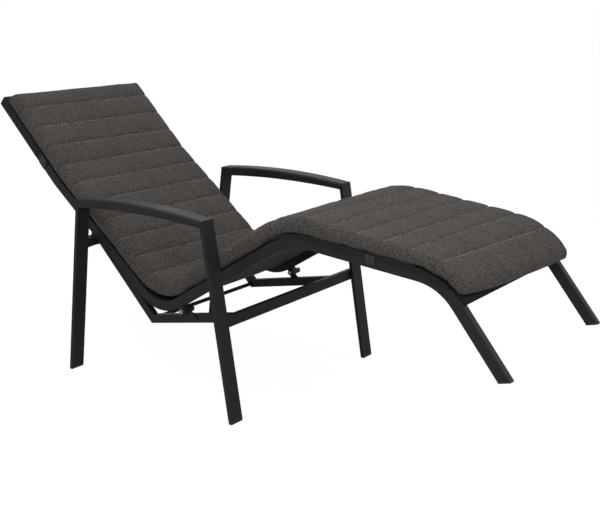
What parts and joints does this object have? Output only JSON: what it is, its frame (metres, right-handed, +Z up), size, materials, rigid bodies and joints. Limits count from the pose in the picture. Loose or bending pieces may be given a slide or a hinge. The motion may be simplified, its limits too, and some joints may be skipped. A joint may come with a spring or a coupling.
{
  "type": "sun lounger",
  "caption": "Reclining sun lounger: a fixed stand with armrests carries a long bent frame with a quilted pad, which rocks on two pivot bolts.",
  "frame": {"origin": "on the floor, at the middle of the overall length and width, with the lounge fully reclined", "axes": "+X across, towards the left hand of a person who lies on it, +Y along the length towards the head end, +Z up"},
  "size_m": [0.7, 1.8716, 0.8495],
  "materials": {
    "frame_coating": "satin powder coat, anthracite",
    "black_plastic": "matte black",
    "rubber": "matte black",
    "steel": "stainless, plain",
    "sling_bead": "matte black",
    "sling_fabric": "open black weave",
    "pad_fabric": "melange dark grey-brown weave",
    "strip_fabric": "dark weave"
  },
  "bodies": {
    "stand": {"armrest_left": "frame_coating", "armrest_right": "frame_coating", "front_leg_left": "frame_coating", "front_leg_right": "frame_coating", "rear_leg_left": "frame_coating", "rear_leg_right": "frame_coating", "front_foot_cap_left": "black_plastic", "front_foot_cap_right": "black_plastic", "rear_foot_cap_left": "black_plastic", "rear_foot_cap_right": "black_plastic", "front_crossbar": "frame_coating", "rear_crossbar": "frame_coating", "cradle_rail_left": "frame_coating", "cradle_rail_right": "frame_coating", "cradle_cross_tube": "frame_coating", "pivot_plate_left": "frame_coating", "pivot_plate_right": "frame_coating", "pivot_bolt_left": "steel", "pivot_bolt_right": "steel", "pivot_cap_left": "black_plastic", "pivot_cap_right": "black_plastic", "pivot_washers_left": "black_plastic", "pivot_washers_right": "black_plastic", "recline_stop_left": "rubber", "recline_stop_right": "rubber"},
    "lounge": {"side_rail_left": "frame_coating", "side_rail_right": "frame_coating", "head_cap_left": "black_plastic", "head_cap_right": "black_plastic", "toe_cap_left": "black_plastic", "toe_cap_right": "black_plastic", "head_cross_tube": "frame_coating", "lumbar_cross_tube": "frame_coating", "calf_cross_tube": "frame_coating", "pivot_lug_left": "frame_coating", "pivot_lug_right": "frame_coating", "pivot_bush_left": "black_plastic", "pivot_bush_right": "black_plastic", "sling": "sling_fabric", "sling_bead_left": "sling_bead", "sling_bead_right": "sling_bead", "pad": "pad_fabric", "head_pocket": "strip_fabric", "foot_fabric": "strip_fabric"}
  },
  "joints": [
    {"name": "lounge_tilt", "type": "hinge", "parent": "stand", "child": "lounge", "pos_m": [0, 0.12503, 0.261], "axis": [1, 0, 0], "range_deg": [0, 16]}
  ]
}
